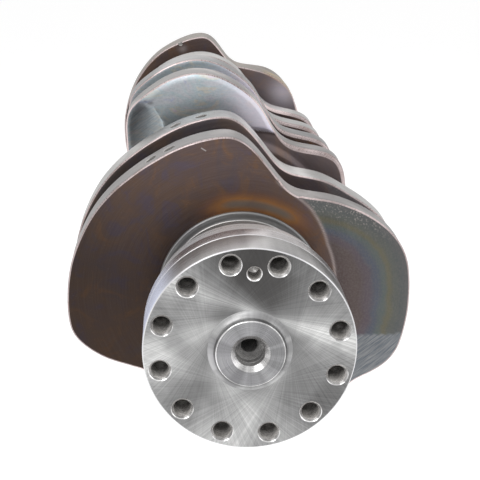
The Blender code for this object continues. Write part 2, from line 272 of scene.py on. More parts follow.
def temper_face(name):
    """Milled and forged web faces with the brown, straw and blue colours of tempering, and painted
    light and shade across them.
    """
    look = Look(name, metallic=0.9, roughness=0.4)
    point = look.point
    edge = look.mask("edge_mm")
    lobe = look.mask("lobe")
    grey = look.mask("grey")
    low = look.mask("low")
    warm = look.mask("warm")

    cloud = look.noise(point, 0.022, 4.0, 0.6, 1.2)
    patch = look.noise(look.vector("ADD", point, (90.0, 40.0, 20.0)), 0.055, 5.0, 0.62, 0.8)
    swirl = look.combine(look.maths("MULTIPLY", look.radius, 1.5),
                         look.maths("MULTIPLY", look.angle, 2.2), 0.0)
    arcs = look.noise(swirl, 1.0, 6.0, 0.7)
    brown = look.ramp(cloud, [(0.28, (0.060, 0.046, 0.048)), (0.45, (0.070, 0.048, 0.043)),
                              (0.60, (0.078, 0.050, 0.038)), (0.75, (0.062, 0.050, 0.056))])
    brown = look.mix(look.span(patch, 0.50, 0.68, 0.0, 0.70), brown, (0.112, 0.060, 0.032))
    brown = look.mix(look.span(patch, 0.47, 0.32, 0.0, 0.65), brown, (0.056, 0.046, 0.068))
    brown = look.mix(look.span(arcs, 0.35, 0.70, 0.0, 0.30), brown, (0.120, 0.092, 0.084))
    nicks = look.noise(look.vector("MULTIPLY", point, (1.0, 1.0, 3.0)), 0.55, 4.0, 0.75)
    brown = look.mix(look.span(nicks, 0.60, 0.74, 0.0, 0.45), brown, (0.150, 0.122, 0.112))
    # Painted light and shade: the brown faces brighten towards the top and right and darken towards the
    # lower left.
    painted_upper_light = look.span(look.maths("MULTIPLY_ADD", look.x, 0.55, look.z), -45.0, 95.0, 0.56, 1.62)
    brown = look.mix(1.0, brown, look.combine(painted_upper_light, painted_upper_light, painted_upper_light), "MULTIPLY")
    heat = look.maths("MULTIPLY", warm, look.span(patch, 0.25, 0.75, 0.75, 1.15), clamp=True)
    brown = look.mix(heat, brown, look.ramp(warm, [
        (0.0, (0.10, 0.062, 0.050)), (0.45, (0.27, 0.120, 0.050)), (0.8, (0.36, 0.165, 0.055)),
        (1.0, (0.20, 0.16, 0.13))], "LINEAR"))

    wander = look.noise(point, 0.05, 4.0, 0.55, 0.5)
    reach = look.maths("ADD", edge, look.maths("MULTIPLY", look.maths("SUBTRACT", wander, 0.5), 9.0))
    bands = look.ramp(look.maths("DIVIDE", reach, 46.0), [
        (0.0, (0.110, 0.110, 0.112)), (0.10, (0.098, 0.106, 0.106)), (0.22, (0.104, 0.112, 0.102)),
        (0.30, (0.130, 0.124, 0.086)), (0.38, (0.100, 0.120, 0.116)), (0.48, (0.088, 0.100, 0.128)),
        (0.60, (0.105, 0.086, 0.100)), (0.75, (0.104, 0.080, 0.076)), (1.0, (0.090, 0.066, 0.064))])
    grain = look.noise(point, 0.75, 5.0, 0.7)
    pebble = look.noise(point, 0.32, 3.0, 0.6)
    bands = look.mix(look.span(grain, 0.35, 0.70, 0.0, 0.45), bands, (0.155, 0.138, 0.132))
    speck = look.maths("MULTIPLY", look.span(grain, 0.54, 0.66), look.span(edge, 15.0, 1.0))
    speck = look.maths("MULTIPLY", speck, look.span(look.z, 28.0, 52.0))
    bands = look.mix(look.maths("MULTIPLY", speck, 0.85), bands, (0.42, 0.39, 0.36))
    surface = look.mix(lobe, brown, bands)
    # Painted highlight along the step at the edge of web 8's forged cheek, and a pale smear beside web
    # 2's notch.
    surface = look.mix(look.maths("MULTIPLY", look.mask("step_highlight_and_smear"), 0.75), surface, (0.36, 0.31, 0.30))
    offset = look.vector("SUBTRACT", point, TICK_MIDDLE)
    beside = look.maths("ABSOLUTE", look.vector("DOT_PRODUCT", offset, TICK_ACROSS, output="Value"))
    beyond = look.maths("ABSOLUTE", look.vector("DOT_PRODUCT", offset, TICK_ALONG, output="Value"))
    tick = look.maths("MULTIPLY", look.span(beside, 0.55, 0.20), look.span(beyond, 2.2, 1.5))
    tick = look.maths("MULTIPLY", tick, look.span(look.y, REAR_FACE + 6.0, REAR_FACE + 4.0))
    surface = look.mix(tick, surface, (0.36, 0.33, 0.32))

    slant = look.combine(look.maths("MULTIPLY_ADD", look.x, 0.8, look.maths("MULTIPLY", look.z, -1.0)),
                         look.maths("MULTIPLY", look.maths("ADD", look.x, look.z), 0.05), 0.0)
    scrape = look.noise(slant, 0.9, 4.0, 0.6)
    scraped = look.mix(look.span(scrape, 0.35, 0.65), (0.12, 0.135, 0.155), (0.25, 0.255, 0.26))

    drift = look.noise(look.vector("MULTIPLY", point, (1.0, 1.0, 2.4)), 0.028, 4.0, 0.6, 1.5)
    pale = look.ramp(drift, [
        (0.30, (0.28, 0.33, 0.47)), (0.42, (0.44, 0.46, 0.475)), (0.52, (0.36, 0.44, 0.46)),
        (0.61, (0.48, 0.47, 0.40)), (0.72, (0.50, 0.40, 0.54))])
    stretched = look.combine(look.x, look.y, look.maths("MULTIPLY", look.z, 7.0))
    brushed = look.noise(stretched, 0.22, 5.0, 0.7)
    pale = look.mix(look.span(brushed, 0.40, 0.66, 0.0, 0.40), pale, (0.26, 0.27, 0.30))
    pale = look.mix(look.span(grain, 0.35, 0.70, 0.0, 0.30), pale, (0.60, 0.61, 0.62))
    # Painted light: the pale lobes turn lighter towards the right; painted shade darkens them towards
    # the left.
    pale = look.mix(look.span(look.x, -22.0, 22.0, 0.0, 0.7), pale, (0.66, 0.61, 0.68))
    painted_shade_left = look.span(look.x, -80.0, -20.0, 0.72, 1.12)
    pale = look.mix(1.0, pale, look.combine(painted_shade_left, painted_shade_left, painted_shade_left), "MULTIPLY")
    pale = look.mix(1.0, pale, (1.24, 1.24, 1.27), "MULTIPLY")
    surface = look.mix(grey, surface, pale)
    look.colour(look.mix(low, surface, scraped))

    rough = look.span(arcs, 0.3, 0.7, 0.34, 0.46)
    rough = look.maths("ADD", rough, look.maths("MULTIPLY", lobe, 0.10))
    look.rough(look.maths("SUBTRACT", rough, look.maths("MULTIPLY", grey, 0.06)))
    soft = look.maths("ADD", look.maths("MULTIPLY", pebble, look.maths("ADD", lobe, 0.15)),
                      look.maths("MULTIPLY", grain, look.maths("MULTIPLY_ADD", lobe, 0.6, 0.12)))
    look.bump(soft, 0.55, 0.55)
    look.bump(arcs, 0.03, 0.5)
    return look.made


def milled_rim(name, tint, contrast=0.18, roughness=0.34):
    """Milled steel of rims, teeth and key: cutter lines across it, a few stains and painted glints."""
    look = Look(name, roughness=roughness)
    along = look.maths("MULTIPLY", look.angle, 70.0)
    lines = look.noise(look.combine(along, look.maths("MULTIPLY", look.y, 0.35), 0.0), 1.6, 5.0, 0.7)
    run = look.noise(look.combine(look.maths("MULTIPLY", look.y, 1.6),
                                  look.maths("MULTIPLY", look.angle, 5.0), 0.0), 1.0, 4.0, 0.6)
    cloud = look.noise(look.point, 0.05, 4.0, 0.6, 0.8)
    dark = tuple(value * (1.0 - 2.0 * contrast) for value in tint)
    shade = look.mix(look.span(lines, 0.32, 0.68), dark, tint)
    pale = tuple(min(1.0, value * 1.6) for value in tint)
    shade = look.mix(look.span(run, 0.50, 0.75, 0.0, 0.6), shade, pale)
    # Painted glints: patches of the rim tinted much lighter.
    glint = look.noise(look.point, 0.017, 2.0, 0.5)
    sheen = tuple(min(1.0, value * 1.9) for value in tint)
    shade = look.mix(look.span(glint, 0.50, 0.68, 0.0, 0.6), shade, sheen)
    shade = look.mix(look.span(cloud, 0.52, 0.75, 0.0, 0.8), shade,
                     (tint[0] * 0.62, tint[1] * 0.55, tint[2] * 0.50))
    straw = look.maths("MULTIPLY", look.mask("warm"), look.span(cloud, 0.38, 0.60, 0.25, 0.95))
    shade = look.mix(straw, shade, (0.43, 0.28, 0.09))
    look.colour(shade)
    look.rough(look.span(lines, 0.3, 0.7, roughness * 0.8, roughness * 1.25))
    look.bump(lines, 0.05, 0.5)
    look.bump(run, 0.04, 0.5)
    return look.made


def bore_metal(name, dark, bright):
    """Cut threads and drilled walls, with a thin patchy oil film, and painted shade that darkens the
    walls with depth.
    """
    look = Look(name, metallic=0.5, roughness=0.24)
    film = look.noise(look.point, 0.12, 3.0, 0.5)
    fine = look.noise(look.vector("MULTIPLY", look.point, (0.6, 3.0, 0.6)), 1.0, 3.0, 0.6)
    # Painted shade: the walls turn darker deeper into the hole.
    depth = look.span(look.y, FLANGE_FACE, FLANGE_FACE + 14.0)
    shade = look.mix(look.span(film, 0.35, 0.65), dark, bright)
    painted_depth_shade = tuple(value * 0.35 for value in dark)
    look.colour(look.mix(look.maths("MULTIPLY", depth, 0.6), shade, painted_depth_shade))
    look.rough(look.span(fine, 0.3, 0.7, 0.18, 0.34))
    look.bump(fine, 0.02, 0.3)
    return look.made


FLANGE_GRIND_HIGHLIGHTS = ground_face("flange_ground_face_highlights")
RIM_TURNED = turned_metal("flange_turned_rim", (0.41, 0.40, 0.395), 0.30, highlight_fan=0.3,
                          painted_blue_sheen=0.9)
RIM_ROSY = turned_metal("flange_seal_band", (0.52, 0.49, 0.49), 0.26, 4.0, highlight_fan=0.25,
                        painted_blue_sheen=0.8)
BEVEL = turned_metal("flange_bevel", (0.72, 0.72, 0.73), 0.30, 2.0, 0.08, metallic=0.55)
BOSS_SIDE = turned_metal("boss_turned_side", (0.38, 0.38, 0.38), 0.34, 2.0, 0.12, highlight_fan=0.25)
BOSS_FACE = turned_metal("boss_turned_face", (0.27, 0.27, 0.275), 0.28, 2.6, 0.24, highlight_fan=0.2)
# Painted highlight: chamfers and hole mouths get a much lighter copy of the turned steel.
BRIGHT = turned_metal("bright_chamfer", (0.74, 0.735, 0.73), 0.18, 2.0, 0.06, 0.008, highlight_fan=0.3)
# Painted light: the tapped bore is tinted far lighter than the countersink and centre bore, standing in
# for light inside the holes.
BORE = bore_metal("tapped_bore", (0.58, 0.56, 0.54), (0.90, 0.88, 0.86))
COUNTERSINK = bore_metal("tapped_countersink", (0.24, 0.235, 0.23), (0.42, 0.41, 0.40))
CENTRE_BORE = bore_metal("centre_bore", (0.36, 0.355, 0.35), (0.62, 0.61, 0.60))
SEAT = turned_metal("centre_seat", (0.58, 0.575, 0.57), 0.24, 2.4, 0.12, highlight_fan=0.25)
COLLAR = turned_metal("collar_dark_steel", (0.25, 0.25, 0.25), 0.36, 0.9, 0.30, 0.03)
GROUND = turned_metal("ground_journal", (0.70, 0.70, 0.705), 0.13, 5.0, 0.05, 0.004)
FILLET = turned_metal("journal_shoulder", (0.50, 0.49, 0.48), 0.26, 3.0, 0.14)
FACE = temper_face("tempered_web_face")
RIM = milled_rim("milled_web_rim", (0.44, 0.43, 0.42))
# Painted shade: these rims are darker copies of the same milled steel, one for each web's rim
# brightness.
SHADED_RIM = milled_rim("shaded_web_rim", (0.25, 0.233, 0.228), 0.2, 0.36)
DEEP_SHADED_RIM = milled_rim("deep_shaded_web_rim", (0.235, 0.23, 0.23), 0.2, 0.36)
# Painted highlight: a lighter, pinkish copy of the rim steel on the broken edges of the webs.
EDGE_HIGHLIGHT = milled_rim("deburred_edge_highlight", (0.50, 0.42, 0.415), 0.14, 0.30)
FAR_SHADED_RIM = milled_rim("stained_and_shaded_web_rim", (0.19, 0.155, 0.125), 0.20, 0.36)
NOSE = turned_metal("turned_nose", (0.56, 0.56, 0.565), 0.24, 3.0, 0.12)
GEAR = milled_rim("ground_gear_teeth", (0.40, 0.405, 0.42), 0.12, 0.28)
GEAR_SIDE = turned_metal("gear_side_face", (0.27, 0.275, 0.29), 0.34, 2.2, 0.20)
KEY = milled_rim("drawn_key_steel", (0.44, 0.42, 0.38), 0.12, 0.30)


# ---------------------------------------------------------------- mesh helpers

def solid(name, rings, bands, materials, closed=False, marks=None, sharp=SHARP_DEGREES):
    """Closed mesh through rings of (x, y, z) millimetre points; bands are material indices."""
    count = len(rings[0])
    points = np.concatenate([np.asarray(ring, float) for ring in rings])
    faces = []
    finish = []
    total = len(rings)
    for index in range(total if closed else total - 1):
        start = index * count
        after = ((index + 1) % total) * count
        for k in range(count):
            step = (k + 1) % count
            faces.append((start + k, start + step, after + step, after + k))
            finish.append(bands[index])
    if not closed:
        for start, band in ((0, bands[0]), ((total - 1) * count, bands[-1])):
            hub = len(points)
            points = np.vstack([points, points[start:start + count].mean(axis=0)])
            for k in range(count):
                faces.append((hub, start + k, start + (k + 1) % count))
                finish.append(band)
    mesh = bpy.data.meshes.new(name)
    mesh.from_pydata((points * MM).tolist(), [], faces)
    for finish_used in materials:
        mesh.materials.append(finish_used)
    mesh.polygons.foreach_set("material_index", finish)
    for mark, values in (marks or {}).items():
        padded = np.zeros(len(points), np.float32)
        padded[:len(values)] = values
        mesh.attributes.new(mark, "FLOAT", "POINT").data.foreach_set("value", padded)
    cleaner = bmesh.new()
    cleaner.from_mesh(mesh)
    bmesh.ops.recalc_face_normals(cleaner, faces=cleaner.faces)
    cleaner.to_mesh(mesh)
    cleaner.free()
    smooth(mesh, sharp)
    made = bpy.data.objects.new(name, mesh)
    bpy.context.scene.collection.objects.link(made)
    return made


def smooth(mesh, sharp=SHARP_DEGREES):
    mesh.shade_smooth()
    mesh.set_sharp_from_angle(angle=math.radians(sharp))


def carve(target, cutters, sharp=SHARP_DEGREES):
    """Subtract cutters from a piece for good, keeping their finish on the cut walls."""
    for cutter in cutters:
        step = target.modifiers.new("carve", "BOOLEAN")
        step.operation = "DIFFERENCE"
        step.solver = "EXACT"
        step.material_mode = "TRANSFER"
        step.object = cutter
    bpy.context.view_layer.update()
    graph = bpy.context.evaluated_depsgraph_get()
    mesh = bpy.data.meshes.new_from_object(target.evaluated_get(graph))
    target.modifiers.clear()
    target.data = mesh
    smooth(mesh, sharp)
    for cutter in cutters:
        bpy.data.objects.remove(cutter, do_unlink=True)


def hold(piece, slot, *nodes):
    """A finished piece rides on the crank and stands for its CAD nodes."""
    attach(piece, "root")
    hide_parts(*nodes)


def across(degrees, radius):
    turn = math.radians(degrees)
    return radius * math.sin(turn), radius * math.cos(turn)


def circle(radius, y, centre=(0.0, 0.0), segments=160):
    turn = np.linspace(0.0, FULL_TURN, segments, endpoint=False)
    return np.column_stack([centre[0] + radius * np.sin(turn), np.full(segments, y),
                            centre[1] + radius * np.cos(turn)])


def eased(profile, closed=False):
    """Round the corners of a (y, radius, ease, band) profile; returns (y, radius) and bands."""
    points = []
    bands = []
    count = len(profile)
    for index, (y, radius, ease, band) in enumerate(profile):
        here = np.array([y, radius])
        before = np.array(profile[index - 1][:2])
        after = np.array(profile[(index + 1) % count][:2])
        at_end = not closed and index in (0, count - 1)
        if ease <= 0.0 or at_end:
            points.append(here)
            bands.append(band)
            continue
        reach_in = min(ease, 0.45 * np.linalg.norm(before - here))
        reach_out = min(ease, 0.45 * np.linalg.norm(after - here))
        start = here + (before - here) / np.linalg.norm(before - here) * reach_in
        end = here + (after - here) / np.linalg.norm(after - here) * reach_out
        for t in (0.0, 0.25, 0.5, 0.75, 1.0):
            points.append((1 - t) ** 2 * start + 2 * t * (1 - t) * here + t ** 2 * end)
            bands.append(band)
    return points, bands


def turned(name, profile, station, materials, centre=(0.0, 0.0), segments=160, closed=False):
    """Turned piece about the crank axis, or a parallel one, from a profile."""
    points, bands = eased(profile, closed)
    rings = [circle(radius, station + y, centre, segments) for y, radius in points]
    return solid(name, rings, bands, materials, closed)


def radial_cutter(centre, degrees, surface, radius, depth, y, flare=0.8):
    """Drill that enters a round surface from outside, with a small countersink."""
    outward = np.array([math.sin(math.radians(degrees)), 0.0, math.cos(math.radians(degrees))])
    side = np.array([outward[2], 0.0, -outward[0]])
    base = np.array([centre[0], y, centre[1]])
    turn = np.linspace(0.0, FULL_TURN, 32, endpoint=False)
    rings = []
    for reach, width in ((surface + OVERSHOOT, radius + flare + OVERSHOOT), (surface - flare, radius),
                         (surface - depth, radius), (surface - depth - 0.5 * radius, 0.3)):
        rings.append([base + outward * reach + side * width * math.cos(t)
                      + np.array([0.0, width * math.sin(t), 0.0]) for t in turn])
    return solid("cutter", rings, [0, 0, 0], [BORE])


# ---------------------------------------------------------------- flywheel end

FLANGE_RADIUS = 62.5
FLANGE_BACK = 60.85
HOLE_RADIUS = 8.5
SOCKET_RADIUS = 22.9
BAND_START = 24.5
BAND_END = 25.9
BOLTS = 12
BOLT_CIRCLE = 53.6
FIRST_BOLT_DEGREES = 17.9
BOLT_MOUTH = 6.75
BOLT_MINOR = 5.4
BOLT_DEPTH = 31.0
BOLT_PITCH = 1.75
THREAD_HEIGHT = 0.6
THREAD_END = 13.0
DOWEL_DEGREES = 2.9
DOWEL_CIRCLE = 47.0
DOWEL_RADIUS = 4.0
DOWEL_DEPTH = 14.0


def threaded_cutter(x, z):
    """Tapping cutter: a countersunk mouth, then helical grooves on a plain bore."""
    segments = 40
    turn = np.linspace(0.0, FULL_TURN, segments, endpoint=False)
    cone_end = BOLT_MOUTH - BOLT_MINOR
    levels = [(-OVERSHOOT, BOLT_MOUTH + OVERSHOOT, 0.0), (0.45, BOLT_MOUTH - 0.45, 0.0),
              (cone_end, BOLT_MINOR, 0.0)]
    y = cone_end + 0.25
    while y < THREAD_END:
        levels.append((y, BOLT_MINOR, THREAD_HEIGHT))
        y += BOLT_PITCH / 5.0
    levels += [(THREAD_END + 0.4, BOLT_MINOR, 0.0), (BOLT_DEPTH, BOLT_MINOR, 0.0),
               (BOLT_DEPTH + 2.6, 0.4, 0.0)]
    rings = []
    for y, radius, tooth in levels:
        phase = (y / BOLT_PITCH - turn / FULL_TURN) % 1.0
        ridge = tooth * (1.0 - np.abs(2.0 * phase - 1.0))
        width = radius + ridge
        rings.append(np.column_stack([x + width * np.sin(turn), np.full(segments, FLANGE_FACE + y),
                                      z + width * np.cos(turn)]))
    bands = [1, 2] + [0] * (len(levels) - 3)
    return rings, bands


def bolt_ring():
    """The tapping cutters of the bolt circle, one object for each hole."""
    parts = []
    for k in range(BOLTS):
        x, z = across(FIRST_BOLT_DEGREES + 360.0 * k / BOLTS, BOLT_CIRCLE)
        rings, bands = threaded_cutter(x, z)
        parts.append(solid("cutter", rings, bands, [BORE, BRIGHT, COUNTERSINK]))
    return parts


def joined(parts):
    """One object out of several."""
    keeper = parts[0]
    gathered = bmesh.new()
    for part in parts:
        gathered.from_mesh(part.data)
    gathered.to_mesh(keeper.data)
    gathered.free()
    for part in parts[1:]:
        bpy.data.objects.remove(part, do_unlink=True)
    return keeper


flange = turned("flange_turned", (
    (37.0, 0.6, 0.0, 4),
    (34.0, 5.0, 0.0, 4),
    (10.0, 5.0, 0.3, 4),
    (6.0, HOLE_RADIUS, 0.3, 4),
    (2.0, HOLE_RADIUS, 0.3, 4),
    (2.0, SOCKET_RADIUS, 0.0, 4),
    (0.0, SOCKET_RADIUS, 0.0, 0),
    (0.0, FLANGE_RADIUS - 0.75, 0.0, 3),
    (0.75, FLANGE_RADIUS, 0.15, 1),
    (BAND_START, FLANGE_RADIUS, 0.1, 3),
    (BAND_START + 0.3, FLANGE_RADIUS - 0.5, 0.1, 3),
    (BAND_END - 0.3, FLANGE_RADIUS - 0.5, 0.1, 3),
    (BAND_END, FLANGE_RADIUS, 0.1, 2),
    (37.5, FLANGE_RADIUS, 0.5, 3),
    (59.9, 58.8, 0.5, 3),
    (FLANGE_BACK, 57.6, 0.2, 5),
    (FLANGE_BACK, 44.0, 0.0, 5),
), FLANGE_FACE, [FLANGE_GRIND_HIGHLIGHTS, RIM_TURNED, RIM_ROSY, BEVEL, CENTRE_BORE, FILLET], segments=240)
dowel = turned("cutter", (
    (-OVERSHOOT, DOWEL_RADIUS + 0.6 + OVERSHOOT, 0.0, 1),
    (0.6, DOWEL_RADIUS, 0.0, 0),
    (DOWEL_DEPTH, DOWEL_RADIUS, 0.0, 0),
    (DOWEL_DEPTH + 1.5, 0.5, 0.0, 0),
), FLANGE_FACE, [BORE, BRIGHT], across(DOWEL_DEGREES, DOWEL_CIRCLE), 40)
carve(flange, [joined(bolt_ring() + [dowel])])
hold(flange, "turned_steel", "flywheel_flange")

boss = turned("pilot_boss_turned", (
    (1.6, HOLE_RADIUS, 0.0, 3),
    (-2.5, HOLE_RADIUS, 0.3, 5),
    (-BOSS_RISE, HOLE_RADIUS + 3.1, 0.25, 1),
    (-BOSS_RISE, 20.0, 0.2, 2),
    (-5.1, 20.5, 0.2, 4),
    (-2.4, 20.9, 1.2, 4),
    (-0.5, 23.2, 1.2, 4),
    (-0.04, 24.8, 0.0, 4),
    (0.0, 22.6, 0.0, 4),
    (1.6, 22.6, 0.0, 3),
), FLANGE_FACE, [RIM_TURNED, BOSS_FACE, BRIGHT, CENTRE_BORE, BOSS_SIDE, SEAT], segments=192,
   closed=True)
hold(boss, "turned_steel", "pilot_boss")

collar_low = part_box("thrust_collar")[0]
COLLAR_RADIUS = 54.5
COLLAR_BORE = 45.2
COLLAR_WIDTH = 2.95
collar = turned("thrust_collar_ring", (
    (0.0, COLLAR_BORE, 0.0, 0),
    (0.0, COLLAR_RADIUS - 0.8, 0.5, 0),
    (0.9, COLLAR_RADIUS, 0.4, 0),
    (2.5, COLLAR_RADIUS, 0.25, 1),
    (COLLAR_WIDTH, COLLAR_RADIUS - 0.7, 0.2, 0),
    (COLLAR_WIDTH, COLLAR_BORE, 0.0, 0),
), collar_low.y / MM, [COLLAR, FILLET], segments=192, closed=True)
hold(collar, "turned_steel", "thrust_collar")


# ---------------------------------------------------------------- journals

SHOULDER_RISE = 4.6
UNDERCUT = 0.35
OIL_HOLE_RADIUS = 3.5
OIL_HOLE_DEPTH = 22.0


def journal(node, oil_angle):
    """Ground journal with shoulders, undercut fillets and a chamfered oil hole."""
    low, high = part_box(node)
    length = (high.y - low.y) / MM + 0.5
    start = low.y / MM - 0.25
    radius = 0.5 * (high.x - low.x) / MM
    centre = (0.5 * (low.x + high.x) / MM, 0.5 * (low.z + high.z) / MM)
    piece = turned(node + "_ground", (
        (0.0, radius - 8.0, 0.0, 1),
        (0.0, radius + SHOULDER_RISE, 0.0, 1),
        (0.9, radius + 4.2, 0.4, 1),
        (1.1, radius + 0.6, 0.5, 1),
        (2.4, radius - UNDERCUT, 0.9, 1),
        (4.4, radius - UNDERCUT, 0.5, 1),
        (5.0, radius, 0.3, 0),
        (length - 5.0, radius, 0.3, 1),
        (length - 4.4, radius - UNDERCUT, 0.5, 1),
        (length - 2.4, radius - UNDERCUT, 0.9, 1),
        (length - 1.1, radius + 0.6, 0.5, 1),
        (length - 0.9, radius + 4.2, 0.4, 1),
        (length, radius + SHOULDER_RISE, 0.0, 1),
        (length, radius - 8.0, 0.0, 1),
    ), start, [GROUND, FILLET], centre, 160)
    carve(piece, [radial_cutter(centre, oil_angle, radius, OIL_HOLE_RADIUS, OIL_HOLE_DEPTH,
                                start + 0.5 * length)])
    hold(piece, "ground_journal_steel", node)


for number, oil in ((1, 154.0), (2, -26.0), (3, -26.0), (4, 154.0), (5, 154.0)):
    journal(f"main_journal_{number}", oil)
for number, oil in ((1, 194.0), (2, 14.0), (3, 14.0), (4, 194.0)):
    journal(f"crankpin_{number}", oil)


# ---------------------------------------------------------------- webs

STEPS = 360
HUB_RADIUS = 17.0
RIM_WAVES = 31.0
RIM_WAVE_DEPTH = 0.12
PIT_RADIUS = 4.0
PIT_DEPTH = 3.4
# Angle, rim radius, pit radius, depth and share of the thickness, as balance_cuts returns them.
EAR_NOTCH = (-18.3, 116.0, 2.2, 2.6, 0.04)
ANGLES = np.linspace(-math.pi, math.pi, STEPS, endpoint=False)
DEGREES = np.degrees(ANGLES)
OUTWARD = np.column_stack([np.sin(ANGLES), np.cos(ANGLES)])


def outline_of(node):
    """A web's outline as (x, z) points, smoothed from the edge of its CAD solid."""
    points = np.array([vertex.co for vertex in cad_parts[node].data.vertices]) / MM
    level = points[:, 1].min() + 1.8
    ring = points[np.abs(points[:, 1] - level) < 0.3]
    turn = np.arctan2(ring[:, 0], ring[:, 2])
    order = np.argsort(turn)
    radius = np.interp(ANGLES, turn[order], np.hypot(ring[:, 0], ring[:, 2])[order],
                       period=FULL_TURN)
    reach = np.arange(-6, 7)
    weight = np.exp(-0.5 * (reach / 1.8) ** 2)
    weight /= weight.sum()
    soft = sum(w * np.roll(radius, k) for k, w in zip(reach, weight))
    return OUTWARD * soft[:, None]


def soft_step(value, low, high):
    t = np.clip((value - low) / (high - low), 0.0, 1.0)
    return t * t * (3.0 - 2.0 * t)


def window(degrees, low, high, fade):
    return soft_step(degrees, low, low + fade) * (1.0 - soft_step(degrees, high - fade, high))


# Each face function below takes the same five values for one ring of the face: the angle
# in degrees, the radius, the distance to the rim, x and z. It returns how far the ring sinks
# into the web, and the masks that temper_face and milled_rim read.

def rear_face(degrees, radius, edge, x, z):
    """Web 8: a turned face on the left, an as-forged cheek on the right."""
    border = np.interp(degrees, [0.0, 22.0, 30.0, 40.0, 50.0, 62.0, 80.0, 110.0, 130.0],
                       [84.0, 75.0, 73.0, 71.5, 68.5, 65.0, 63.5, 63.0, 66.0])
    side = window(degrees, 17.0, 175.0, 3.0)
    lobe = soft_step(radius - border, -0.3, 0.7) * side
    low = lobe * soft_step(-z, 33.5, 35.0)
    # Painted highlight: a pale line along the step where the forged cheek begins.
    step_highlight_and_smear = np.exp(-((radius - border + 0.2) / 0.75) ** 2) * window(degrees, 17.0, 175.0, 6.0)
    dent = 1.3 * lobe + lobe * 3.4 * np.clip(1.0 - edge / 11.0, 0.0, 1.0) ** 2
    ripple = lobe * 0.35 * np.sin(0.21 * x + 0.13 * z) * np.sin(0.17 * z - 0.05 * x)
    warm = np.exp(-((radius - 59.0) / 7.5) ** 2) * window(degrees, -38.0, 62.0, 34.0)
    return dent + ripple, {"lobe": lobe, "low": low, "warm": warm, "step_highlight_and_smear": step_highlight_and_smear}


def lobe_face(degrees, radius, edge, x, z):
    """Web 6: a pale pin lobe above a brown cheek, with a forged scoop on its left shoulder."""
    border = np.interp(degrees, [-75.0, -60.0, -30.0, 0.0, 11.0, 22.0, 26.0],
                       [60.0, 62.0, 72.0, 80.0, 82.0, 84.0, 90.0])
    grey = soft_step(radius - border, -0.4, 0.6) * window(degrees, -90.0, 26.0, 2.0)
    shift_x = x + 71.0
    shift_z = z - 77.0
    tilt = math.radians(8.0)
    along = shift_x * math.cos(tilt) - shift_z * math.sin(tilt)
    up = shift_x * math.sin(tilt) + shift_z * math.cos(tilt)
    reach = np.hypot(along / 20.5, up / 27.0)
    scoop = 7.5 * np.sqrt(np.clip(1.0 - reach ** 2, 0.0, 1.0)) ** 1.3
    cheek = 1.2 * (1.0 - grey) * window(degrees, -20.0, 110.0, 16.0) * soft_step(radius, 70.0, 76.0)
    rounding = 0.5 * np.clip(1.0 - edge / 4.0, 0.0, 1.0) ** 2 * grey
    tone = np.maximum(grey, 0.10 * window(degrees, -20.0, 120.0, 10.0))
    return scoop + cheek + rounding, {"grey": tone, "low": 0.6 * np.clip(scoop / 2.0, 0.0, 1.0)}


def plain_face(degrees, radius, edge, x, z):
    """A milled face that drops slightly towards the as-forged edge of its lower lobe."""
    lobe = soft_step(radius, 80.0, 84.0) * window(degrees, 40.0, 178.0, 8.0) * 0.6
    return 0.5 * lobe, {"lobe": lobe, "grey": np.full(STEPS, 0.08)}


def ear_face(degrees, radius, edge, x, z):
    """Web 2: brown pin lobe, and a greyer lower lobe with a blue-green bloom and a straw edge."""
    lower = window(degrees, 8.0, 150.0, 10.0)
    bloom = np.exp(-((x - 58.0) / 12.0) ** 2 - ((z - 60.0) / 14.0) ** 2)
    straw = window(degrees, 24.0, 52.0, 11.0) * np.clip(1.0 - edge / 1.5, 0.0, 1.0)
    smear = np.exp(-((degrees + 18.0) / 1.9) ** 2 - ((radius - 109.5) / 3.2) ** 2)
    return 0.3 * lower, {"grey": 0.10 * lower + 0.55 * bloom, "warm": straw, "step_highlight_and_smear": smear}


def pale_face(degrees, radius, edge, x, z):
    """Faces of webs 3 to 5: a pale pin lobe above, brown below."""
    grey = soft_step(radius, 74.0, 80.0) * window(degrees, -90.0, 26.0, 6.0)
    return 0.7 * (1.0 - grey) * soft_step(radius, 60.0, 66.0), {"grey": grey * 0.85}


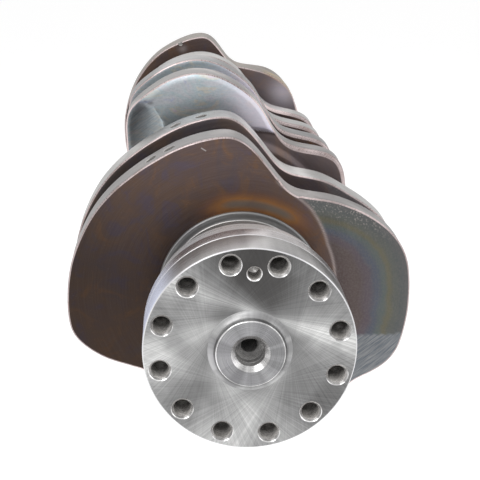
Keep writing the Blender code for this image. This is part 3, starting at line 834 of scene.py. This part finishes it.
def web(node, front, back, rim=RIM, round_ears=1.0, cuts=(), fine=30):
    """Web with shaped faces, broken edges and a milled rim that follows its CAD outline."""
    low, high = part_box(node)
    first = low.y / MM
    thickness = (high.y - low.y) / MM
    outline = outline_of(node)
    ahead = np.roll(outline, -1, axis=0) - np.roll(outline, 1, axis=0)
    normal = np.column_stack([-ahead[:, 1], ahead[:, 0]])
    normal /= np.linalg.norm(normal, axis=1)[:, None]
    normal *= np.sign((normal * OUTWARD).sum(axis=1))[:, None]
    ease = 1.0 + (round_ears - 1.0) * window(DEGREES, 22.0, 175.0, 14.0)
    inner = outline - normal * ease[:, None]
    hub = OUTWARD * HUB_RADIUS
    rings = []
    bands = []
    marks = {"edge_mm": [], "lobe": [], "grey": [], "low": [], "warm": [], "step_highlight_and_smear": []}

    def add(plane, y, band, masks=None, edge=0.0):
        rings.append(np.column_stack([plane[:, 0], np.broadcast_to(y, STEPS), plane[:, 1]]))
        bands.append(band)
        for mark, store in marks.items():
            value = edge if mark == "edge_mm" else (masks or {}).get(mark, 0.0)
            store.append(np.broadcast_to(np.asarray(value, np.float32), STEPS))

    def face_rings(shape, side):
        made = []
        count = fine if side > 0 else 30
        for share in 1.0 - (1.0 - np.linspace(0.0, 1.0, count)) ** 1.2:
            plane = hub + (inner - hub) * share
            radius = np.linalg.norm(plane, axis=1)
            edge = np.linalg.norm(inner - plane, axis=1)
            dent, masks = shape(DEGREES, radius, edge, plane[:, 0], plane[:, 1])
            y = first + dent if side > 0 else first + thickness - dent
            made.append((plane, y, masks, edge))
        return made

    front_rings = face_rings(front, 1)
    back_rings = face_rings(back, -1)
    for plane, y, masks, edge in front_rings:
        add(plane, y, 0, masks, edge)
    front_edge = front_rings[-1][1]
    back_edge = back_rings[-1][1]
    for turn in (0.25, 0.5, 0.75, 1.0):
        swing = turn * math.pi / 2
        add(inner + normal * (ease * math.sin(swing))[:, None],
            front_edge + ease * (1 - math.cos(swing)), 2, front_rings[-1][2])
    bands[-5] = 2
    bands[-1] = 1
    for share in (0.25, 0.5, 0.75):
        wave = RIM_WAVE_DEPTH * np.sin(ANGLES * RIM_WAVES + share * 4.0)
        y = front_edge + ease + (back_edge - front_edge - 2 * ease) * share
        add(outline - normal * (RIM_WAVE_DEPTH + wave)[:, None], y, 1, front_rings[-1][2])
    for turn in (1.0, 0.75, 0.5, 0.25):
        swing = turn * math.pi / 2
        add(inner + normal * (ease * math.sin(swing))[:, None],
            back_edge - ease * (1 - math.cos(swing)), 2, back_rings[-1][2])
    for plane, y, masks, edge in reversed(back_rings):
        add(plane, y, 0, masks, edge)
    flat = {mark: np.concatenate(values) for mark, values in marks.items()}
    piece = solid(node + "_forged", rings, bands, [FACE, rim, EDGE_HIGHLIGHT],
                  marks=flat, sharp=38.0)
    if cuts:
        carve(piece, [radial_cutter((0.0, 0.0), degrees, reach, radius, depth,
                                    first + share * thickness, 0.5)
                      for degrees, reach, radius, depth, share in cuts], 38.0)
    hold(piece, "tempered_forged_steel", node)


def balance_cuts(node, angles):
    """Balancing pits in the rim: angle, rim radius, pit radius, depth, share of the thickness."""
    reach = np.linalg.norm(outline_of(node), axis=1)
    return [(angle, float(np.interp(angle, DEGREES, reach)), PIT_RADIUS, PIT_DEPTH, 0.5)
            for angle in angles]


web("web_8", rear_face, plain_face, SHADED_RIM, cuts=balance_cuts("web_8", (-33.5, -26.0)), fine=110)
web("web_7", plain_face, plain_face, cuts=balance_cuts("web_7", (-23.5, -13.0)))
web("web_6", lobe_face, pale_face, SHADED_RIM, round_ears=3.2, fine=70)
web("web_5", pale_face, pale_face, DEEP_SHADED_RIM, round_ears=2.6)
web("web_4", pale_face, pale_face, round_ears=2.6)
web("web_3", pale_face, pale_face, round_ears=2.6)
web("web_2", ear_face, plain_face, FAR_SHADED_RIM, cuts=[EAR_NOTCH], fine=60)
web("web_1", plain_face, plain_face, FAR_SHADED_RIM)


# ---------------------------------------------------------------- nose end

GEAR_SEAT_RADIUS = 34.0
NOSE_RADIUS = 29.0
PULLEY_HOLE_RADIUS = 7.0
nose_low, nose_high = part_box("nose_shaft")
nose_start = nose_low.y / MM - 0.25
nose_length = (nose_high.y - nose_low.y) / MM + 0.25
nose = turned("nose_turned", (
    (0.0, 20.0, 0.0, 1),
    (0.0, 37.0, 0.0, 1),
    (2.5, 37.0, 0.3, 1),
    (3.2, 34.2, 0.4, 1),
    (3.6, GEAR_SEAT_RADIUS - 0.3, 0.2, 1),
    (5.0, GEAR_SEAT_RADIUS - 0.3, 0.2, 1),
    (5.6, GEAR_SEAT_RADIUS, 0.2, 0),
    (28.4, GEAR_SEAT_RADIUS, 0.2, 1),
    (29.2, 33.2, 0.2, 1),
    (29.2, NOSE_RADIUS - 0.4, 0.4, 1),
    (31.0, NOSE_RADIUS - 0.4, 0.4, 1),
    (31.6, NOSE_RADIUS, 0.2, 0),
    (nose_length - 1.5, NOSE_RADIUS, 0.3, 1),
    (nose_length, NOSE_RADIUS - 1.5, 0.3, 0),
    (nose_length, PULLEY_HOLE_RADIUS + 2.6, 0.2, 1),
    (nose_length - 2.6, PULLEY_HOLE_RADIUS, 0.2, 2),
    (nose_length - 38.0, PULLEY_HOLE_RADIUS, 0.0, 2),
    (nose_length - 41.0, 0.6, 0.0, 2),
), nose_start, [NOSE, FILLET, BORE], segments=160)


def bar_outline(half_width, half_length, middle):
    """Plan view of a bar with round ends, as (x, y) points."""
    points = []
    for end, turn in ((1.0, 0.0), (-1.0, math.pi)):
        for k in range(13):
            swing = turn + math.pi * k / 12
            points.append((half_width * math.cos(swing),
                           middle + end * (half_length - half_width) + half_width * math.sin(swing)))
    return points


key_low, key_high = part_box("nose_key")
key_middle = 0.5 * (key_low.y + key_high.y) / MM
half_width = 0.5 * (key_high.x - key_low.x) / MM
half_length = 0.5 * (key_high.y - key_low.y) / MM
key_floor = key_low.z / MM
slot_rings = [[(x, y, z) for x, y in bar_outline(half_width + 0.15, half_length + 0.15, key_middle)]
              for z in (key_floor - 0.05, 34.0)]
carve(nose, [solid("cutter", slot_rings, [0], [FILLET])])
hold(nose, "turned_steel", "nose_shaft")

key_rings = []
for z, inset in ((0.0, 0.4), (0.4, 0.0), (7.5, 0.0), (7.85, 0.15), (8.0, 0.5)):
    plan = bar_outline(half_width - inset, half_length - inset, key_middle)
    key_rings.append([(x, y, key_floor + z) for x, y in plan])
key = solid("nose_key_bar", key_rings, [0] * 4, [KEY])
hold(key, "key_steel", "nose_key")

gear_low, gear_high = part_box("timing_gear")
gear_start = gear_low.y / MM
gear_width = (gear_high.y - gear_low.y) / MM
GEAR_TEETH = 40
TOOTH_POINTS = 12
TIP_RADIUS = 52.5
ROOT_RADIUS = 46.9
gear_steps = GEAR_TEETH * TOOTH_POINTS
gear_turn = np.linspace(0.0, FULL_TURN, gear_steps, endpoint=False)
gear_out = np.column_stack([np.sin(gear_turn), np.cos(gear_turn)])


def tooth_radius(share, trim=0.0):
    """Radius of a rounded spur tooth over one tooth's share of the turn."""
    away = np.abs(((share + 0.5) % 1.0) - 0.5)
    top = TIP_RADIUS - trim
    flank = np.clip((0.36 - away) / 0.22, 0.0, 1.0)
    return ROOT_RADIUS + (top - ROOT_RADIUS) * flank ** 0.8


def gear_ring(radius, y):
    return np.column_stack([gear_out[:, 0] * radius, np.full(gear_steps, y), gear_out[:, 1] * radius])


tooth_share = gear_turn / FULL_TURN * GEAR_TEETH
teeth = tooth_radius(tooth_share)
trimmed = tooth_radius(tooth_share, 0.5)
gear_rings = []
gear_bands = []
for radius, y, band in (
        (34.15, 0.6, 1), (34.7, 0.0, 1), (37.5, 0.0, 1), (38.3, 1.4, 1), (43.0, 1.4, 1), (43.8, 0.0, 1),
        (45.8, 0.0, 1), (trimmed - 0.3, 0.0, 0), (teeth, 0.6, 0), (teeth, gear_width - 0.6, 0),
        (trimmed - 0.3, gear_width, 1), (45.8, gear_width, 1), (43.8, gear_width, 1),
        (43.0, gear_width - 1.4, 1), (38.3, gear_width - 1.4, 1), (37.5, gear_width, 1),
        (34.7, gear_width, 1), (34.15, gear_width - 0.6, 1)):
    gear_rings.append(gear_ring(radius, gear_start + y))
    gear_bands.append(band)
gear = solid("timing_gear_toothed", gear_rings, gear_bands, [GEAR, GEAR_SIDE], closed=True)
hold(gear, "hardened_gear_steel", "timing_gear")


# ---------------------------------------------------------------- studio

FLOOR_DROP = 0.42
FLOOR_REACH = 30.0
CAMERA_PLACE = (-0.03999, -0.97123, 0.27107)
CAMERA_YAW = 0.0531036
CAMERA_PITCH = 0.3071785
floor_corners = [(x * FLOOR_REACH, y * FLOOR_REACH, -FLOOR_DROP)
                 for x, y in ((-1, -1), (1, -1), (1, 1), (-1, 1))]
floor_mesh = bpy.data.meshes.new("studio_floor")
floor_mesh.from_pydata(floor_corners, [], [(0, 1, 2, 3)])
floor = bpy.data.objects.new("studio_floor", floor_mesh)
bpy.context.scene.collection.objects.link(floor)
pale_floor = bpy.data.materials.new("pale_floor")
pale_floor.use_nodes = True
floor_shader = pale_floor.node_tree.nodes["Principled BSDF"]
floor_shader.inputs["Base Color"].default_value = (0.86, 0.86, 0.86, 1.0)
floor_shader.inputs["Roughness"].default_value = 0.9
floor_shader.inputs["Emission Color"].default_value = (1.0, 1.0, 1.0, 1.0)
floor_shader.inputs["Emission Strength"].default_value = 0.24
floor_mesh.materials.append(pale_floor)


def softbox(name, place, target, width, height, power):
    lamp = bpy.data.lights.new(name, "AREA")
    lamp.shape = "RECTANGLE"
    lamp.size = width
    lamp.size_y = height
    lamp.energy = power
    made = bpy.data.objects.new(name, lamp)
    bpy.context.scene.collection.objects.link(made)
    made.location = place
    made.rotation_mode = "QUATERNION"
    made.rotation_quaternion = (Vector(target) - Vector(place)).to_track_quat("-Z", "Y")


softbox("key_softbox", (-0.95, -1.15, 1.35), (0, -0.15, 0), 0.9, 0.9, 7.0)
softbox("front_softbox", (-0.25, -1.8, 0.75), (0, -0.33, 0), 0.5, 0.5, 3.0)
softbox("fill_softbox", (1.6, -0.7, 0.8), (0, -0.1, 0), 0.7, 1.4, 3.0)
softbox("top_softbox", (0.0, 0.4, 1.9), (0, 0.05, 0), 1.2, 1.6, 5.0)
softbox("rear_softbox", (-0.3, 2.0, 0.9), (0, 0, 0), 1.6, 0.9, 3.0)

world = bpy.data.worlds.new("studio_world")
bpy.context.scene.world = world
world.use_nodes = True
nodes = world.node_tree.nodes
links = world.node_tree.links
sky = nodes["Background"]
sky.inputs["Strength"].default_value = 1.0
direction = nodes.new("ShaderNodeTexCoord").outputs["Generated"]
split = nodes.new("ShaderNodeSeparateXYZ")
links.new(direction, split.inputs[0])
height = nodes.new("ShaderNodeMapRange")
height.inputs[1].default_value = -1.0
height.inputs[2].default_value = 1.0
links.new(split.outputs[2], height.inputs[0])
shade = nodes.new("ShaderNodeValToRGB")
shade.color_ramp.interpolation = "EASE"
for mark, (position, value) in zip(
        [*shade.color_ramp.elements, shade.color_ramp.elements.new(0.5),
         shade.color_ramp.elements.new(0.75)],
        ((0.0, 0.55), (1.0, 1.0), (0.5, 1.0), (0.75, 0.72))):
    mark.position = position
    mark.color = (value, value, value, 1.0)
links.new(height.outputs[0], shade.inputs[0])
links.new(shade.outputs[0], sky.inputs["Color"])

camera_data = bpy.data.cameras.new("photo_view")
camera_data.lens = 90.0
camera_data.sensor_width = 36.0
camera_data.clip_start = 0.05
camera_data.clip_end = 100.0
camera = bpy.data.objects.new("photo_view", camera_data)
bpy.context.scene.collection.objects.link(camera)
camera.location = CAMERA_PLACE
forward = Vector((math.sin(CAMERA_YAW) * math.cos(CAMERA_PITCH),
                  math.cos(CAMERA_YAW) * math.cos(CAMERA_PITCH), -math.sin(CAMERA_PITCH)))
camera.rotation_mode = "QUATERNION"
camera.rotation_quaternion = forward.to_track_quat("-Z", "Y")
bpy.context.scene.camera = camera
bpy.context.scene.view_settings.view_transform = "Standard"
